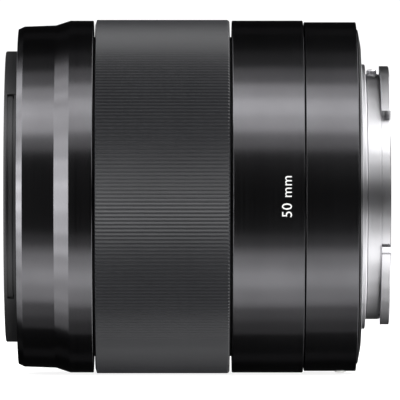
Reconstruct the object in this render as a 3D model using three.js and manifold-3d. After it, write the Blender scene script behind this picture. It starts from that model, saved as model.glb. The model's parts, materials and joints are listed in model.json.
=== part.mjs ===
// A 50 mm class prime lens for a small mirrorless camera, as separate solids.
// Millimetres. The optical axis is Y: the front glass faces -Y, the bayonet faces +Y, and +Z is up.
// The origin is the centre of the bayonet flange's seat plane.
import * as THREE from "three";
import { mergeVertices } from "three/addons/utils/BufferGeometryUtils.js";
import Module from "manifold-3d";

const wasm = await Module();
wasm.setup();

// ---------------------------------------------------------------- driving dimensions
// A station is a place along the axis, measured from the seat plane; the front is negative.
const LIP_FRONT = -62; // front edge of the filter ring
const SHELL_FRONT = -59.8; // front face of the front barrel
const WEB_FRONT = -58.1; // flange of the filter ring, and the front barrel's web ahead of it
const TUBE_FRONT = -57.5; // front end of the main tube
const SHELL_REAR = -46.63; // rear edge of the front barrel
const RING_FRONT = -46.33; // focus ring, front end
const RING_REAR = -22.86; // focus ring, rear end
const SLEEVE_FRONT = -22.46; // rear barrel, front edge
const TUBE_REAR = -10.6; // rear end of the main tube
const SLEEVE_SPLIT = -9.9; // fine groove between the two rear sleeves
const FRAME_REAR = -1.9; // rear face of the rear frame, where the mount is screwed on
const SLEEVE_REAR = -0.77; // rear edge of the rear barrel
const PILOT_REAR = 0.81; // end of the collar that centres the lens in the camera
const NECK_REAR = 3.37; // end of the neck, where the tabs begin
const TAB_REAR = 4.97; // rear face of the bayonet

const LIP_R = 25.5;
const THREAD_R = 24.25; // bore of the 49 mm filter thread
const SHELL_R = 30.86;
const RING_R = 31;
const SLEEVE_R = 30.87;
const REAR_SLEEVE_R = 30.6;
const SLEEVE_BORE_R = 29.45;
const COVER_R = 29.3;
const FLANGE_R = 27;
const PILOT_R = 23.2;
const NECK_R = 21.5;
const TAB_R = 22.9;
const MOUNT_BORE_R = 19.6;
const TUBE_R = 28; // main tube, outside
const TUBE_BORE_R = 26.4; // main tube, inside
const UNIT_R = 26.2; // round plates held inside the tube

const OUTER_SIDES = 40; // facets of the barrel's rings
const INNER_SIDES = 24; // facets of the glass and its cells
const PIN_SIDES = 8; // facets of pins and small holes

const TAB_CENTRES = [66, 187, 308]; // degrees from +X towards +Z
const TAB_SPAN = 51;
const MOUNT_SCREW_ANGLES = [30, 120, 210, 300];
const MOUNT_SCREW_CIRCLE_R = 25.1;
const CONTACTS = 10;

// Glass: front vertex station, centre thickness, the two surface radii and half diameters.
// A positive radius bulges towards the front; `well` is the smaller half diameter of a hollow rear.
const GLASS = [
  { front: -54.6, thick: 4.4, r1: 34, r2: 110, half: 15 },
  { front: -49.9, thick: 4.4, r1: 24, r2: 60, half: 12.6 },
  { front: -45.1, thick: 1.3, r1: 80, r2: 17, half: 11.6, well: 9.6 },
  { front: -32.6, thick: 1.2, r1: -18, r2: 36, half: 9.6 },
  { front: -31.37, thick: 5, r1: 36, r2: -22, half: 9.6 },
  { front: -26, thick: 3.4, r1: 58, r2: -40, half: 10 },
  { front: -21, thick: 1.2, r1: 120, r2: 22, half: 9.5, well: 8.6 },
  { front: -10.8, thick: 3.6, r1: 28, r2: -60, half: 9.8 },
  { front: -4.6, thick: 1.6, r1: -45, r2: 70, half: 9.2 },
];

const BULKHEAD_FRONT = -41.6; // web of the main tube between the front cell and the iris
const BULKHEAD_REAR = -40.4;
const BULKHEAD_BORE_R = 19;

// Iris: seven blades pivot in the base plate and are swung by cam slots in the drive ring.
const BLADES = 7;
const BLADE_THICK = 0.12;
const BLADE_PITCH = 0.24; // each blade lies on a level of its own
const BLADE_FIRST = -39.45;
const BLADE_INNER_R = 11.4;
const BLADE_OUTER_R = 16.9;
const BLADE_PIVOT_R = 18.4;
const DRIVE_PIN = { r: 17.65, angle: 18 };
const BLADE_SWING = 30; // degrees from open to closed
const DRIVE_SWING = 24; // degrees the drive ring turns for it
const IRIS_BORE_R = 11;
const IRIS_R = 22.6;
const IRIS_WALL_R = 22;
const IRIS_PLATE = 0.8;
const DRIVE_RING_FRONT = -37.7;
const DRIVE_RING_REAR = -36.9;
const DRIVE_RING_BORE_R = 11.7;
const IRIS_COVER_FRONT = -36.6;
const IRIS_COVER_REAR = -36;
const GEAR_MODULE = 0.4;
const RING_TEETH = 102; // teeth of the whole circle; only a sector of them is cut
const PINION_TEETH = 10;
const PINION_ANGLE = 45;
const PINION_CIRCLE_R = (GEAR_MODULE * (RING_TEETH + PINION_TEETH)) / 2;
const PIN_R = 0.45;
const PIN_HOLE_R = 0.54;

// Focus unit: the cell slides on two rods, moved by a coil on a magnet yoke.
const FOCUS_PLATE_FRONT = -25.2;
const FOCUS_PLATE_REAR = -24;
const ROD_CIRCLE_R = 21.5;
const ROD_R = 0.75;
const ROD_HOLE_R = 0.83;

// Stabiliser: an L-shaped shaft slides across the base, and the cell slides along its other leg.
const STAB_BASE_FRONT = -10;
const STAB_BASE_REAR = -8.8;
const STAB_SHAFT_OFFSET = -17.5;
const STAB_SHAFT_Y = -7.6;
const STAB_SHAFT_R = 0.5;
const STAB_SHAFT_HOLE_R = 0.58;

// ---------------------------------------------------------------- materials
const finish = (color, roughness, metalness) =>
  new THREE.MeshStandardMaterial({ color, roughness, metalness });
const BLACK_ALUMINIUM = finish(0x1b1b1d, 0.35, 0.6);
const GREY_ALUMINIUM = finish(0x3c3c3f, 0.4, 0.6);
const BLACK_PLASTIC = finish(0x141416, 0.6, 0);
const BRIGHT_METAL = finish(0xd0d0d2, 0.25, 1);
const STEEL = finish(0x9a9a9c, 0.3, 1);
const GOLD = finish(0xd8b25a, 0.25, 1);
const COPPER = finish(0xb4673a, 0.4, 0.9);
const MAGNET = finish(0x6d6f72, 0.35, 0.9);
const WHITE_PAINT = finish(0xf0f0ee, 0.4, 0);
const BOARD = finish(0x1d5a36, 0.5, 0);
const GLASS_FINISH = new THREE.MeshStandardMaterial({
  color: 0xaebfca,
  roughness: 0.05,
  metalness: 0,
  transparent: true,
  opacity: 0.35,
});

// ---------------------------------------------------------------- building blocks
const radians = THREE.MathUtils.degToRad;
const polar = (r, degrees) =>
  new THREE.Vector2(r * Math.cos(radians(degrees)), r * Math.sin(radians(degrees)));

const lens = new THREE.Group();

function add(name, geometry, material) {
  const mesh = new THREE.Mesh(geometry, material);
  mesh.name = name;
  lens.add(mesh);
}

// A closed [radius, station] outline turned about the optical axis.
function turned(outline, sides) {
  let area = 0;
  outline.forEach(([r, y], i) => {
    const [r2, y2] = outline[(i + 1) % outline.length];
    area += r * y2 - r2 * y;
  });
  const ordered = area > 0 ? outline : [...outline].reverse();
  const points = [...ordered, ordered[0]].map(([r, y]) => new THREE.Vector2(r, y));
  return new THREE.LatheGeometry(points, sides);
}

// A shape drawn in X and Z, as seen from the front, standing between two stations.
// three.js cuts each arc of the shape into twice `arcHalfSteps` chords.
function plate(shape, front, rear, arcHalfSteps = 3) {
  const options = { depth: rear - front, bevelEnabled: false, curveSegments: arcHalfSteps };
  return new THREE.ExtrudeGeometry(shape, options).rotateX(Math.PI / 2).translate(0, rear, 0);
}

function block(x, y, z) {
  const size = [x, y, z].map(([low, high]) => high - low);
  const middle = [x, y, z].map(([low, high]) => (low + high) / 2);
  return new THREE.BoxGeometry(...size).translate(...middle);
}

// A pin or hole parallel to the optical axis at a point of the X-Z plane.
function axialPin(at, radius, front, rear, sides = PIN_SIDES) {
  const pin = new THREE.CylinderGeometry(radius, radius, rear - front, sides);
  return pin.translate(at.x, (front + rear) / 2, at.y);
}

// The outline of a piece of a ring, between two angles in degrees.
function sector(inner, outer, from, to) {
  const shape = new THREE.Shape();
  shape.absarc(0, 0, outer, radians(from), radians(to), false);
  shape.absarc(0, 0, inner, radians(to), radians(from), true);
  shape.closePath();
  return shape;
}

function polygon(points) {
  const shape = new THREE.Shape(points);
  shape.closePath();
  return shape;
}

function disc(radius, sides) {
  return new THREE.Shape(roundHole(new THREE.Vector2(), radius, sides).getPoints());
}

function roundHole(centre, radius, sides) {
  const points = [];
  for (let i = 0; i < sides; i++) points.push(polar(radius, (360 * i) / sides).add(centre));
  return new THREE.Path(points);
}

function toSolid(geometry) {
  const bare = geometry.clone();
  bare.deleteAttribute("normal");
  bare.deleteAttribute("uv");
  const merged = mergeVertices(bare, 1e-4);
  const mesh = new wasm.Mesh({
    numProp: 3,
    vertProperties: merged.attributes.position.array,
    triVerts: new Uint32Array(merged.index.array),
  });
  return new wasm.Manifold(mesh);
}

function toGeometry(solid) {
  const mesh = solid.getMesh();
  const geometry = new THREE.BufferGeometry();
  geometry.setAttribute("position", new THREE.BufferAttribute(mesh.vertProperties, 3));
  geometry.setIndex(new THREE.BufferAttribute(mesh.triVerts, 1));
  geometry.computeVertexNormals();
  return geometry;
}

// The pieces joined into one body, less every tool in `cuts`.
function carve(pieces, cuts = []) {
  let solid = toSolid(pieces[0]);
  for (const piece of pieces.slice(1)) solid = solid.add(toSolid(piece));
  for (const tool of cuts) solid = solid.subtract(toSolid(tool));
  return toGeometry(solid);
}

// ---------------------------------------------------------------- outer barrel
function makeFilterRing() {
  const webR = TUBE_R - 0.1;
  const ring = turned(
    [
      [THREAD_R, LIP_FRONT + 0.3],
      [THREAD_R + 0.3, LIP_FRONT],
      [LIP_R - 0.35, LIP_FRONT],
      [LIP_R, LIP_FRONT + 0.35],
      [LIP_R, WEB_FRONT],
      [webR, WEB_FRONT],
      [webR, TUBE_FRONT],
      [THREAD_R, TUBE_FRONT],
    ],
    OUTER_SIDES,
  );
  // Two recesses take the lugs of a hood, one on each side.
  const halfSpan = 44;
  const recess = (middle) =>
    plate(sector(LIP_R - 0.5, LIP_R + 1, middle - halfSpan, middle + halfSpan), -60.9, -60.2, 5);
  add("filter_ring", carve([ring], [recess(0), recess(180)]), BLACK_ALUMINIUM);
}

function makeFrontBarrel() {
  const bore = TUBE_R + 0.6;
  const webRear = WEB_FRONT - 0.1;
  const outline = [
    [LIP_R + 0.2, SHELL_FRONT],
    [29.35, SHELL_FRONT],
    [29.84, -58.75],
    [30.04, -53.26],
    [SHELL_R, -50.72],
    [SHELL_R, SHELL_REAR],
    [bore, SHELL_REAR],
    [bore, webRear],
    [LIP_R + 0.2, webRear],
  ];
  add("front_barrel", turned(outline, OUTER_SIDES), BLACK_ALUMINIUM);
}

// A shallow funnel inside the filter thread, whose skirt holds the first glass in its cell.
function makeFrontTrimRing() {
  const rimR = THREAD_R - 0.15;
  const skirtR = 14.7;
  const outline = [
    [rimR, -58.3],
    [rimR - 0.9, -58.3],
    [skirtR + 0.9, -56.2],
    [skirtR, -56.2],
    [skirtR, -51.6],
    [skirtR + 0.3, -51.6],
    [skirtR + 0.3, -55.4],
    [skirtR + 1.3, -55.4],
    [rimR, TUBE_FRONT],
  ];
  add("front_trim_ring", turned(outline, INNER_SIDES), BLACK_PLASTIC);
}

function makeMainTube() {
  const tube = turned(
    [
      [TUBE_R, TUBE_FRONT],
      [TUBE_R, TUBE_REAR],
      [TUBE_BORE_R, TUBE_REAR],
      [TUBE_BORE_R, BULKHEAD_REAR],
      [BULKHEAD_BORE_R, BULKHEAD_REAR],
      [BULKHEAD_BORE_R, BULKHEAD_FRONT],
      [TUBE_BORE_R, BULKHEAD_FRONT],
      [TUBE_BORE_R, TUBE_FRONT],
    ],
    OUTER_SIDES,
  );
  add("main_tube", carve([tube], [sensorBlock(0.2)]), BLACK_ALUMINIUM);
}

// The optical sensor sits in a window of the main tube, under the encoder ring.
function sensorBlock(margin) {
  const half = 2 + margin;
  const body = block([24.6, 28.05 + 2 * margin], [-32 - margin, -27 + margin], [-half, half]);
  return body.rotateY(radians(45));
}

function makeFocusRing() {
  const land = TUBE_R + 0.1; // the ring turns on two lands with a running clearance
  const landWidth = 1.5;
  const relief = TUBE_R + 1.3;
  const outline = [
    [land, RING_FRONT],
    [RING_R - 0.8, RING_FRONT],
    [RING_R, RING_FRONT + 0.26],
    [RING_R, RING_REAR - 0.5],
    [RING_R - 0.5, RING_REAR],
    [land, RING_REAR],
    [land, RING_REAR - landWidth],
    [relief, RING_REAR - landWidth],
    [relief, RING_FRONT + landWidth],
    [land, RING_FRONT + landWidth],
  ];
  add("focus_ring", turned(outline, OUTER_SIDES), GREY_ALUMINIUM);

  // A comb of slots passes over the sensor and tells the electronics how far the ring turned.
  const teeth = 18;
  const [toothR, slotR] = [TUBE_R + 0.35, TUBE_R + 0.85];
  const comb = [];
  for (let i = 0; i < teeth; i++) {
    for (const [r, part] of [[toothR, 0], [toothR, 0.5], [slotR, 0.5], [slotR, 1]]) {
      comb.push(polar(r, (360 * (i + part)) / teeth));
    }
  }
  const ring = disc(relief - 0.12, OUTER_SIDES);
  ring.holes.push(new THREE.Path(comb));
  add("encoder_ring", plate(ring, -31, -28), BLACK_PLASTIC);
  add("ring_sensor", sensorBlock(0), BLACK_PLASTIC);
}

function makeRearSleeves() {
  const seatR = TUBE_R + 0.15;
  const groove = 0.1; // half the groove's width
  const front = [
    [seatR, SLEEVE_FRONT],
    [SLEEVE_R - 0.2, SLEEVE_FRONT],
    [SLEEVE_R, SLEEVE_FRONT + 0.2],
    [SLEEVE_R, SLEEVE_SPLIT - 0.35],
    [REAR_SLEEVE_R, SLEEVE_SPLIT - groove],
    [SLEEVE_BORE_R, SLEEVE_SPLIT - groove],
    [SLEEVE_BORE_R, SLEEVE_FRONT + 1.1],
    [seatR, SLEEVE_FRONT + 1.1],
  ];
  add("rear_barrel_front_sleeve", turned(front, OUTER_SIDES), BLACK_ALUMINIUM);

  const rear = turned(
    [
      [SLEEVE_BORE_R, SLEEVE_SPLIT + groove],
      [REAR_SLEEVE_R, SLEEVE_SPLIT + groove],
      [REAR_SLEEVE_R, SLEEVE_REAR],
      [SLEEVE_BORE_R, SLEEVE_REAR],
    ],
    OUTER_SIDES,
  );
  const beadHole = new THREE.CylinderGeometry(1.25, 1.25, 4, 12).rotateX(Math.PI / 2);
  const beadY = -3.4;
  add(
    "rear_barrel_rear_sleeve",
    carve([rear], [beadHole.translate(0, beadY, -REAR_SLEEVE_R)]),
    BLACK_ALUMINIUM,
  );
  // White bead that is lined up with the camera's own mark, domed and standing 0.4 proud.
  const bead = [
    [0, 0],
    [1.15, 0],
    [1.15, 1.2],
    [0.8, 1.45],
    [0, 1.6],
  ].map(([r, h]) => new THREE.Vector2(r, h));
  const beadShape = new THREE.LatheGeometry(bead, 12).rotateX(-Math.PI / 2);
  add("mount_index_bead", beadShape.translate(0, beadY, -29.4), WHITE_PAINT);
}

function makeRearFrame() {
  const frame = turned(
    [
      [26.6, TUBE_REAR + 0.1],
      [TUBE_R, TUBE_REAR + 0.1],
      [TUBE_R, -4.6],
      [COVER_R - 0.1, -4.6],
      [COVER_R - 0.1, FRAME_REAR],
      [18.5, FRAME_REAR],
      [18.5, -2.6],
      [20.6, -2.6],
      [20.6, -4.6],
      [26.6, -4.6],
    ],
    OUTER_SIDES,
  );
  const holes = MOUNT_SCREW_ANGLES.map((a) =>
    axialPin(polar(MOUNT_SCREW_CIRCLE_R, a), 0.95, -4.2, FRAME_REAR + 0.1),
  );
  add("rear_frame", carve([frame], holes), BLACK_ALUMINIUM);

  const front = FRAME_REAR + 0.05;
  const cover = [
    [FLANGE_R + 0.15, front],
    [COVER_R, front],
    [COVER_R, -0.45],
    [FLANGE_R + 0.15, -0.25],
  ];
  add("rear_cover_ring", turned(cover, OUTER_SIDES), BLACK_PLASTIC);
}

// ---------------------------------------------------------------- bayonet mount
function makeMount() {
  const ring = turned(
    [
      [MOUNT_BORE_R, FRAME_REAR],
      [FLANGE_R, FRAME_REAR],
      [FLANGE_R, 0],
      [PILOT_R, 0],
      [PILOT_R, PILOT_REAR],
      [NECK_R, PILOT_REAR],
      [NECK_R, NECK_REAR],
      [NECK_R - 0.2, NECK_REAR],
      [NECK_R - 0.2, TAB_REAR],
      [MOUNT_BORE_R, TAB_REAR],
    ],
    OUTER_SIDES,
  );
  const tabs = TAB_CENTRES.map((centre) =>
    plate(
      sector(NECK_R - 1, TAB_R, centre - TAB_SPAN / 2, centre + TAB_SPAN / 2),
      NECK_REAR,
      TAB_REAR,
    ),
  );
  const headDepth = 1.1;
  const pockets = MOUNT_SCREW_ANGLES.flatMap((a) => {
    const at = polar(MOUNT_SCREW_CIRCLE_R, a);
    return [axialPin(at, 1.6, -headDepth, 1, 12), axialPin(at, 1, -3, 1)];
  });
  const stopY = 2.05;
  const stopHole = new THREE.CylinderGeometry(0.95, 0.95, 3, 12).rotateX(Math.PI / 2);
  const notch = plate(sector(NECK_R - 0.9, TAB_R + 1, 36.5, 40), TAB_REAR - 1.1, TAB_REAR + 1, 1);
  add(
    "bayonet_mount",
    carve([ring, ...tabs], [...pockets, stopHole.translate(0, stopY, NECK_R), notch]),
    BRIGHT_METAL,
  );

  const stop = new THREE.CylinderGeometry(0.88, 0.88, 2.2, 12).rotateX(Math.PI / 2);
  add("bayonet_stop_screw", stop.translate(0, stopY, NECK_R - 0.3), STEEL);

  MOUNT_SCREW_ANGLES.forEach((a, i) => {
    const at = polar(MOUNT_SCREW_CIRCLE_R, a);
    const head = axialPin(at, 1.5, -headDepth, -0.1, 12);
    const shank = axialPin(at, 0.85, -3.8, -headDepth);
    const recess = axialPin(at, 0.5, -0.6, 0, 6);
    add("mount_screw_" + (i + 1), carve([head, shank], [recess]), STEEL);
  });
}

// The baffle closes the mount's bore down to the picture's shape; the contacts sit on it.
function makeRearBaffle() {
  const rear = 1.2;
  const wallR = MOUNT_BORE_R - 0.2;
  const wall = turned(
    [
      [wallR - 1, -1.8],
      [wallR, -1.8],
      [wallR, rear],
      [wallR - 1, rear],
    ],
    INNER_SIDES,
  );
  const face = disc(wallR, INNER_SIDES);
  const [halfWide, halfHigh, corner] = [8.6, 6.6, 3];
  const opening = new THREE.Path();
  opening.absarc(halfWide - corner, halfHigh - corner, corner, 0, Math.PI / 2);
  opening.absarc(corner - halfWide, halfHigh - corner, corner, Math.PI / 2, Math.PI);
  opening.absarc(corner - halfWide, corner - halfHigh, corner, Math.PI, 1.5 * Math.PI);
  opening.absarc(halfWide - corner, corner - halfHigh, corner, 1.5 * Math.PI, 2 * Math.PI);
  face.holes.push(opening);
  add("rear_light_baffle", carve([plate(face, rear - 1, rear, 2), wall]), BLACK_PLASTIC);

  const [from, to] = [64, 116];
  const channelFloor = 3.4;
  const body = plate(sector(15.4, 19.1, from, to), rear, 4);
  const channel = plate(sector(16.6, 18.6, from + 2, to - 2), channelFloor, 4.5);
  add("contact_block", carve([body], [channel]), BLACK_PLASTIC);
  const strip = plate(sector(16.8, 18.4, from + 3, to - 3), channelFloor, 3.7);
  const pins = [];
  for (let i = 0; i < CONTACTS; i++) {
    const angle = from + 5 + ((to - from - 10) * i) / (CONTACTS - 1);
    pins.push(axialPin(polar(17.6, angle), PIN_R, 3.6, 4.15, 6));
  }
  add("contact_strip", carve([strip, ...pins]), GOLD);

  const board = plate(sector(21.4, UNIT_R, -60, 240), -5.8, -5, 15);
  add("main_circuit_board", board, BOARD);
}

// ---------------------------------------------------------------- glass and its cells
const sag = (radius, height) =>
  radius - Math.sign(radius) * Math.sqrt(radius * radius - height * height);

function element({ front, thick, r1, r2, half, well = half }) {
  const steps = 2;
  const rear = front + thick;
  const outline = [];
  for (let i = 0; i <= steps; i++) {
    const h = (half * i) / steps;
    outline.push([h, front + sag(r1, h)]);
  }
  if (well < half) outline.push([half, rear + sag(r2, well)]);
  for (let i = steps; i >= 0; i--) {
    const h = (well * i) / steps;
    outline.push([h, rear + sag(r2, h)]);
  }
  return new THREE.LatheGeometry(
    outline.map(([r, y]) => new THREE.Vector2(r, y)),
    INNER_SIDES,
  );
}

function makeGlass() {
  GLASS.forEach((glass, i) => add("lens_element_" + (i + 1), element(glass), GLASS_FINISH));
}

const FIT = 0.15; // radial gap between a glass rim and its seat

function makeFixedCells() {
  const [g1, g2, g3, g4, , g6] = GLASS;
  const front = [
    [g1.half + FIT, -55.2],
    [17.6, -55.2],
    [17.6, -43],
    [24, -43],
    [24, BULKHEAD_FRONT],
    [18.8, BULKHEAD_FRONT],
    [18.8, -40.45],
    [10.2, -40.45],
    [10.2, -40.75],
    [g3.half + FIT, -40.75],
    [g3.half + FIT, -44.1],
    [g2.half + FIT, -44.1],
    [g2.half + FIT, -49.1],
    [g1.half + FIT, -49.1],
  ];
  add("front_lens_cell", turned(front, INNER_SIDES), BLACK_ALUMINIUM);

  const rearGroup = [
    [g4.half + FIT, IRIS_COVER_REAR],
    [18.9, IRIS_COVER_REAR],
    [18.9, -35.2],
    [12, -35.2],
    [12, -23.2],
    [g6.half + FIT, -23.2],
    [g6.half + FIT, -25.5],
    [8.8, -25.5],
    [8.8, -28.1],
    [g4.half + FIT, -28.1],
  ];
  add("rear_group_cell", turned(rearGroup, INNER_SIDES), BLACK_PLASTIC);

  const last = [
    [9.35, -5.5],
    [11, -5.5],
    [11, -3.6],
    [20.4, -3.6],
    [20.4, -2.65],
    [11, -2.65],
    [11, -1.6],
    [8.6, -1.6],
    [8.6, -2.3],
    [9.35, -2.3],
  ];
  add("rear_lens_cell", turned(last, INNER_SIDES), BLACK_PLASTIC);
}

// ---------------------------------------------------------------- iris
const bladeAngle = (i) => (360 * i) / BLADES;

// Where a blade's drive pin is when the blade has swung by `swing` degrees.
function drivePinAt(swing) {
  const pivot = new THREE.Vector2(BLADE_PIVOT_R, 0);
  return polar(DRIVE_PIN.r, DRIVE_PIN.angle).rotateAround(pivot, radians(swing));
}

// A crescent that lies outside the open aperture, with an ear for its pivot and drive pin.
function bladeOutline() {
  const [earFrom, earTo, earR] = [-4, 21, BLADE_PIVOT_R + 0.8];
  const [from, to] = [-4, 98];
  const points = [];
  const arc = (radius, start, end, steps) => {
    for (let i = 0; i <= steps; i++) points.push(polar(radius, start + ((end - start) * i) / steps));
  };
  arc(earR, earFrom, earTo, 4);
  arc(BLADE_OUTER_R, earTo + 4, to - 6, 7);
  arc(BLADE_INNER_R, to, from, 10);
  return polygon(points);
}

function makeBlades() {
  for (let i = 0; i < BLADES; i++) {
    const front = BLADE_FIRST + BLADE_PITCH * i;
    const rear = front + BLADE_THICK;
    const leaf = plate(bladeOutline(), front, rear);
    const pivot = axialPin(new THREE.Vector2(BLADE_PIVOT_R, 0), PIN_R, -40.2, rear);
    const drive = axialPin(drivePinAt(0), PIN_R, front, DRIVE_RING_REAR - 0.05);
    const blade = carve([leaf, pivot, drive]);
    add("iris_blade_" + (i + 1), blade.rotateY(radians(-bladeAngle(i))), BLACK_PLASTIC);
  }
}

function makeIrisPlates() {
  const baseRear = BULKHEAD_REAR + IRIS_PLATE;
  const base = disc(IRIS_R, INNER_SIDES);
  base.holes.push(roundHole(new THREE.Vector2(), IRIS_BORE_R, INNER_SIDES));
  for (let i = 0; i < BLADES; i++) {
    base.holes.push(roundHole(polar(BLADE_PIVOT_R, bladeAngle(i)), PIN_HOLE_R, PIN_SIDES));
  }
  const window = 9; // half angle of the opening that the pinion reaches in through
  const wall = sector(IRIS_WALL_R, IRIS_R - 0.05, PINION_ANGLE + window, PINION_ANGLE + 360 - window);
  add(
    "iris_base_plate",
    carve([
      plate(base, BULKHEAD_REAR, baseRear),
      plate(wall, baseRear - 0.1, IRIS_COVER_FRONT, 9),
    ]),
    BLACK_PLASTIC,
  );

  const cover = turned(
    [
      [IRIS_BORE_R, DRIVE_RING_FRONT - 0.05],
      [DRIVE_RING_BORE_R - 0.12, DRIVE_RING_FRONT - 0.05],
      [DRIVE_RING_BORE_R - 0.12, IRIS_COVER_FRONT],
      [IRIS_R, IRIS_COVER_FRONT],
      [IRIS_R, IRIS_COVER_REAR],
      [IRIS_BORE_R, IRIS_COVER_REAR],
    ],
    INNER_SIDES,
  );
  const motorAt = polar(PINION_CIRCLE_R, PINION_ANGLE);
  const ear = axialPin(motorAt, 3.4, IRIS_COVER_FRONT, IRIS_COVER_REAR, 12);
  const shaftHole = axialPin(motorAt, 0.62, -37, -35);
  add("iris_cover_plate", carve([cover, ear], [shaftHole]), BLACK_PLASTIC);

  const can = axialPin(motorAt, 3.2, IRIS_COVER_REAR, -29, 16);
  const bearing = axialPin(motorAt, 0.62, -37, -34.4);
  add("iris_motor", carve([can], [bearing]), STEEL);
}

// Involute teeth, cut a little thin so that the pair runs with backlash.
const PRESSURE_ANGLE = radians(20);
const involute = (angle) => Math.tan(angle) - angle;

function toothFlank(teeth, radius) {
  const pitchR = (GEAR_MODULE * teeth) / 2;
  const baseR = pitchR * Math.cos(PRESSURE_ANGLE);
  const at = Math.acos(Math.min(1, baseR / Math.max(radius, baseR)));
  const halfThickness = (0.42 * Math.PI * GEAR_MODULE) / 2;
  return halfThickness / pitchR + involute(PRESSURE_ANGLE) - involute(at);
}

function toothPoints(teeth, middle) {
  const pitchR = (GEAR_MODULE * teeth) / 2;
  const radii = [pitchR - 1.15 * GEAR_MODULE, pitchR, pitchR + 0.85 * GEAR_MODULE];
  const side = (r, sign) => {
    const angle = middle + sign * toothFlank(teeth, r);
    return new THREE.Vector2(r * Math.cos(angle), r * Math.sin(angle));
  };
  return [...radii.map((r) => side(r, -1)), ...[...radii].reverse().map((r) => side(r, 1))];
}

function makeDrive() {
  // The toothed sector reaches past the pinion on the side that the ring turns away from.
  const pitch = (2 * Math.PI) / RING_TEETH;
  const [behind, ahead] = [3, 10];
  const middle = radians(PINION_ANGLE);
  const points = [];
  for (let i = -behind; i <= ahead; i++) points.push(...toothPoints(RING_TEETH, middle + i * pitch));
  const rootR = (GEAR_MODULE * RING_TEETH) / 2 - 1.15 * GEAR_MODULE;
  const [start, end] = [middle + (ahead + 1) * pitch, middle - (behind + 1) * pitch + 2 * Math.PI];
  for (let i = 0; i <= INNER_SIDES; i++) {
    const angle = start + ((end - start) * i) / INNER_SIDES;
    points.push(new THREE.Vector2(rootR * Math.cos(angle), rootR * Math.sin(angle)));
  }
  const ring = polygon(points);
  ring.holes.push(roundHole(new THREE.Vector2(), DRIVE_RING_BORE_R, INNER_SIDES));
  for (let i = 0; i < BLADES; i++) ring.holes.push(camSlot(bladeAngle(i)));
  add("iris_drive_ring", plate(ring, DRIVE_RING_FRONT, DRIVE_RING_REAR), BLACK_PLASTIC);

  // A space of the pinion faces the ring's axis, so the pair is in mesh at rest.
  const gear = [];
  const facing = middle + Math.PI + Math.PI / PINION_TEETH;
  for (let i = 0; i < PINION_TEETH; i++) {
    gear.push(...toothPoints(PINION_TEETH, facing + (2 * Math.PI * i) / PINION_TEETH));
  }
  const at = polar(PINION_CIRCLE_R, PINION_ANGLE);
  const wheel = plate(polygon(gear), DRIVE_RING_FRONT, DRIVE_RING_REAR).translate(at.x, 0, at.y);
  const shaft = axialPin(at, 0.5, DRIVE_RING_FRONT, -34.6);
  add("iris_pinion", carve([wheel, shaft]), STEEL);
}

// The slot follows the drive pin as seen from the turning ring, and runs on past it at both ends.
function camSlot(angle) {
  const steps = 4;
  const halfWidth = PIN_HOLE_R + 0.04;
  const path = [];
  for (let i = 0; i <= steps; i++) {
    const t = i / steps;
    const pin = drivePinAt(BLADE_SWING * t);
    path.push(pin.rotateAround(new THREE.Vector2(), radians(DRIVE_SWING * t + angle)));
  }
  const left = [];
  const right = [];
  path.forEach((p, i) => {
    const before = path[Math.max(i - 1, 0)];
    const after = path[Math.min(i + 1, steps)];
    const along = after.clone().sub(before).normalize().multiplyScalar(halfWidth);
    const across = new THREE.Vector2(-along.y, along.x);
    const centre = p.clone();
    if (i === 0) centre.sub(along);
    if (i === steps) centre.add(along);
    left.push(centre.clone().add(across));
    right.unshift(centre.clone().sub(across));
  });
  return new THREE.Path([...left, ...right]);
}

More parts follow.
